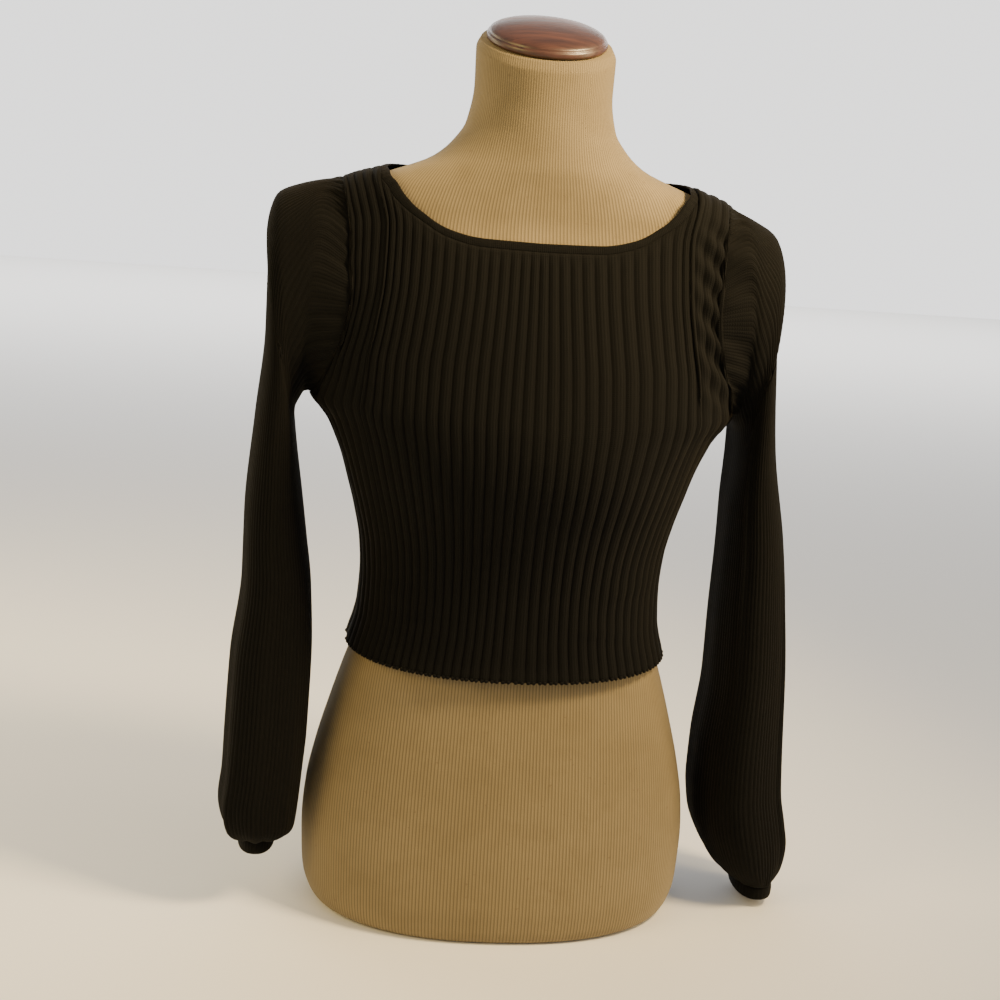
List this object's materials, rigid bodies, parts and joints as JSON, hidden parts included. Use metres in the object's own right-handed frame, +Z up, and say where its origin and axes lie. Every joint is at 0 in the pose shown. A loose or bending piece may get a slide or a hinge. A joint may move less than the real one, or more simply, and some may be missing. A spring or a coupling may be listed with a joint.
{
  "type": "crop top on a dress form",
  "caption": "Cropped rib-knit top with a wide scoop neck and long balloon sleeves, worn on a limbless dress form with a flat base.",
  "frame": {"origin": "centre of the dress form's flat base", "axes": "+Z up, -Y to the chest, +X to the side of the sleeve named right"},
  "size_m": [0.5251, 0.2536, 0.7837],
  "materials": {
    "form_jersey": "fine ribbed cream jersey cover",
    "cap_wood": "dark stained and varnished",
    "rib_knit": "matte black rib knit",
    "band_knit": "matte black plain knit"
  },
  "bodies": {
    "root": {"dress_form": "form_jersey", "neck_cap": "cap_wood", "front": "rib_knit", "back": "rib_knit", "neckband": "band_knit", "sleeve_right": "rib_knit", "sleeve_left": "rib_knit", "cuff_right": "band_knit", "cuff_left": "band_knit"}
  },
  "joints": []
}
